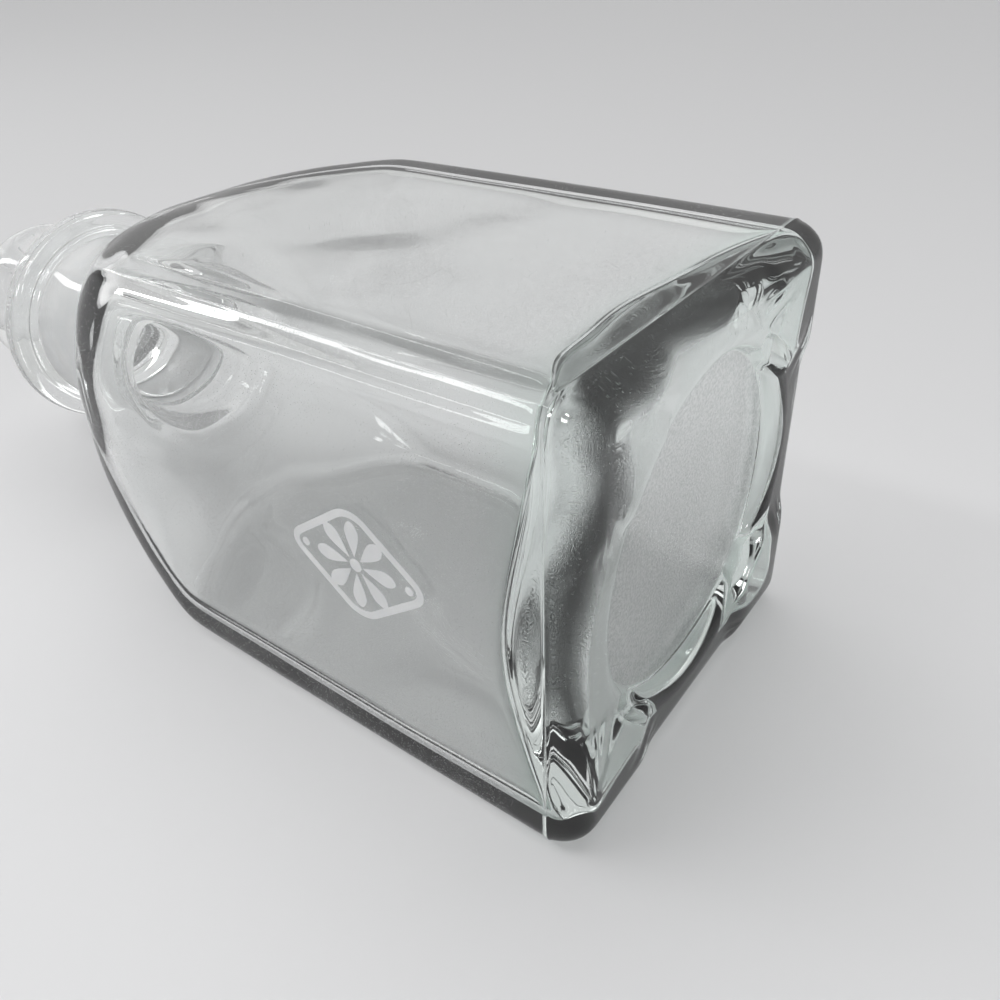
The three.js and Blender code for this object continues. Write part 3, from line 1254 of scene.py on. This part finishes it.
@dataclass
class Studio:
    """The pale stage, the soft lamps and the camera."""

    table_drop: float = 45.0
    floor_gap: float = 0.15
    floor_size: float = 6.0
    table_size: float = 24.0
    pale: float = 0.70
    backdrop: float = 0.62
    coolness: float = 1.01
    shade: float = 0.16
    stage_roughness: float = 0.7
    stage_gloss: float = 0.2
    veiled_passes: float = 1.5
    glows: tuple[Glow, ...] = (
        Glow((0.95, 0.10, 0.25), (0.72, 0.96), 1.7),
        Glow((0.05, 0.95, 0.25), (0.84, 0.98), 0.6),
        Glow((-0.75, -0.25, 0.50), (0.65, 0.95), 1.5),
        Glow((0.10, 0.15, 1.00), (0.70, 0.99), 0.75),
    )
    lamps: tuple[Lamp, ...] = (
        Lamp("Key", (0.75, -0.45, 0.78), (0.09, 1.05), 2.3),
        Lamp("Front", (0.45, -0.75, -0.35), (0.16, 0.16), 1.8),
        Lamp("Spark", (0.68, -0.46, -0.35), (0.09, 0.09), 1.5),
    )
    lamp_aim: Point = (0, 0, 0.1)
    lens: float = 33.17
    lens_shift: Span = (-0.0027, -0.0495)
    lens_reach: Span = (0.01, 20.0)
    camera_place: Point = (0.100394, -0.128572, -0.049893)
    camera_right: Point = (-0.030309, 0.585435, -0.810153)
    camera_down: Point = (-0.850160, -0.441349, -0.287123)
    camera_forward: Point = (-0.525652, 0.680057, 0.511090)

    def cool(self, level: float) -> Colour:
        """A pale grey with a trace of blue."""
        return (level, level, level * self.coolness)

    def one_sided(self, name: str, veiled: bool) -> Material:
        """Makes a pale material that is seen from its front alone.

        Args:
            name: The material's name.
            veiled: Whether paths that came up through the veil don't see it at all.

        Returns:
            The material.
        """
        material, kit, shader = new_material(name)
        shader.inputs["Base Color"].default_value = (*self.cool(self.pale), 1.0)
        shader.inputs["Roughness"].default_value = self.stage_roughness
        shader.inputs["Specular IOR Level"].default_value = self.stage_gloss
        clear = kit.add("ShaderNodeBsdfTransparent")
        mix = kit.add("ShaderNodeMixShader")
        hidden = kit.add("ShaderNodeNewGeometry").outputs["Backfacing"]
        if veiled:
            passes = kit.add("ShaderNodeLightPath").outputs["Transparent Depth"]
            hidden = kit.math("MAXIMUM", hidden, kit.math("GREATER_THAN", passes, self.veiled_passes))
        kit.join(hidden, mix.inputs[0])
        kit.join(shader.outputs[0], mix.inputs[1])
        kit.join(clear.outputs[0], mix.inputs[2])
        kit.show(mix.outputs[0])
        return material

    def veil(self) -> Material:
        """Makes a wholly clear material, which only counts the paths that come up through it."""
        material, kit, _ = new_material("Clear veil")
        kit.show(kit.add("ShaderNodeBsdfTransparent").outputs[0])
        return material

    def lay(self, name: str, size: float, place: Point, tilt: float, finish: Material) -> Piece:
        """Adds one plane of the stage.

        Args:
            name: Its name.
            size: How wide it is, in metres.
            place: Where its middle lies.
            tilt: How far it is turned about Y, in radians.
            finish: Its material.

        Returns:
            The plane.
        """
        deselect_all()
        middle = Vector(place) * MM
        bpy.ops.mesh.primitive_plane_add(size=size, rotation=(0, tilt, 0), location=middle)
        plane = settle(bpy.context.object, name)
        plane.data.materials.append(finish)
        plane.visible_diffuse = False
        plane.visible_shadow = False
        return plane

    def build_floor(self) -> None:
        """Adds the floor that the decanter stands on and the table that it is seen lying on."""
        gap = self.floor_gap
        floor_finish = self.one_sided("Pale floor", True)
        table_finish = self.one_sided("Pale table", False)
        floor = self.lay("floor", self.floor_size, (0, 0, -gap), 0, floor_finish)
        table = self.lay("table", self.table_size, (-self.table_drop - gap, 0, 0), QUARTER, table_finish)
        veil = self.lay("veil", self.floor_size, (0, 0, -2 * gap), 0, self.veil())

    def build_world(self) -> None:
        """Makes the world: a pale backdrop that the glass shows too, and soft glows over shade.

        The backdrop is seen by camera, glossy and transmission rays, and the glows by all but the
        camera's, as lamps are. Diffuse rays meet the shade and the glows alone.
        """
        world = bpy.data.worlds.new("Pale studio")
        bpy.context.scene.world = world
        world.use_nodes = True
        kit = NodeKit(world.node_tree)
        background = world.node_tree.nodes["Background"]
        way = kit.add("ShaderNodeTexCoord").outputs["Generated"]
        light: object = self.shade
        for glow in self.glows:
            facing = kit.add("ShaderNodeVectorMath", operation="DOT_PRODUCT")
            kit.join(way, facing.inputs[0])
            facing.inputs[1].default_value = Vector(glow.way).normalized()
            lit = kit.ramp(facing.outputs["Value"], glow.cosines, (0.0, glow.strength))
            light = kit.math("ADD", lit, light)
        path = kit.add("ShaderNodeLightPath")
        glass = kit.math("MAXIMUM", path.outputs["Is Glossy Ray"], path.outputs["Is Transmission Ray"])
        light = kit.math("MAXIMUM", kit.math("MULTIPLY", glass, self.backdrop), light)
        seen = kit.blend(path.outputs["Is Camera Ray"], light, self.cool(self.backdrop))
        kit.join(seen, background.inputs["Color"])
        background.inputs["Strength"].default_value = 1.0
        bpy.context.scene.view_settings.view_transform = "Standard"

    def build_lamps(self) -> None:
        """Hangs the long key along the near edge, the small front lamp and a spark for the corners."""
        for lamp in self.lamps:
            lamp.hang(self.lamp_aim)

    def build_camera(self) -> None:
        """Sets the camera where the decanter was photographed from."""
        camera = bpy.data.cameras.new("Camera")
        camera.sensor_width = 36.0
        camera.lens = self.lens
        camera.shift_x, camera.shift_y = self.lens_shift
        camera.clip_start, camera.clip_end = self.lens_reach
        holder = bpy.data.objects.new("Camera", camera)
        bpy.context.scene.collection.objects.link(holder)
        axes = Vector(self.camera_right), -Vector(self.camera_down), -Vector(self.camera_forward)
        turn = Matrix(axes).transposed().to_4x4()
        holder.matrix_world = Matrix.Translation(Vector(self.camera_place)) @ turn
        bpy.context.scene.camera = holder

    def build(self) -> None:
        """Builds the whole stage, in order."""
        self.build_floor()
        self.build_world()
        self.build_lamps()
        self.build_camera()


def write_sizes() -> None:
    """Updates the view layer.
    """
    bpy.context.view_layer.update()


def make_finishes() -> tuple[dict[Place, Material], Material]:
    """Makes the materials.

    Returns:
        The finish of each part of the glass, and the ornament's finish.
    """
    groups = {"wear": WearEffect().group(), "grain": make_grain_group()}
    ground = GroundFinish("Ground glass", (0.99, 0.99, 0.99), (0.93, 0.94, 0.945), 0.15)
    stippled = GroundFinish(
        "Stippled glass",
        (1.0, 1.0, 1.0),
        (0.70, 0.73, 0.725),
        clearness=0.93,
        roughness=0.055,
        grain_scale=2600.0,
        grain_depth=0.000045,
        cloud_scale=1700.0,
        cloud_edge=0.08,
    )
    etched = GroundFinish("Etched glass", (0.97, 0.975, 0.98), (0.9, 0.91, 0.92), 0.35, roughness=0.6)
    finishes = {
        Place.CLEAR: GlassFinish().material(groups),
        Place.GROUND: ground.material(groups),
        Place.STIPPLED: stippled.material(groups),
    }
    return finishes, etched.material(groups)


def main() -> None:
    """Builds the decanter, its stopper, its ornament and its stage, in order."""
    logging.basicConfig(level=logging.INFO, format="%(name)s: %(message)s")
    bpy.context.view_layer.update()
    finishes, etched = make_finishes()

    body = DecanterBody()
    for part, finish in ((body, finishes), (BallStopper(body), finishes), (EtchedRosette(body), etched)):
        part.build()
        part.dress(finish)
        LOG.info("%s: %d faces", part.piece.name, len(part.piece.data.polygons))
    Studio().build()
    write_sizes()


if __name__ == "__main__":
    main()
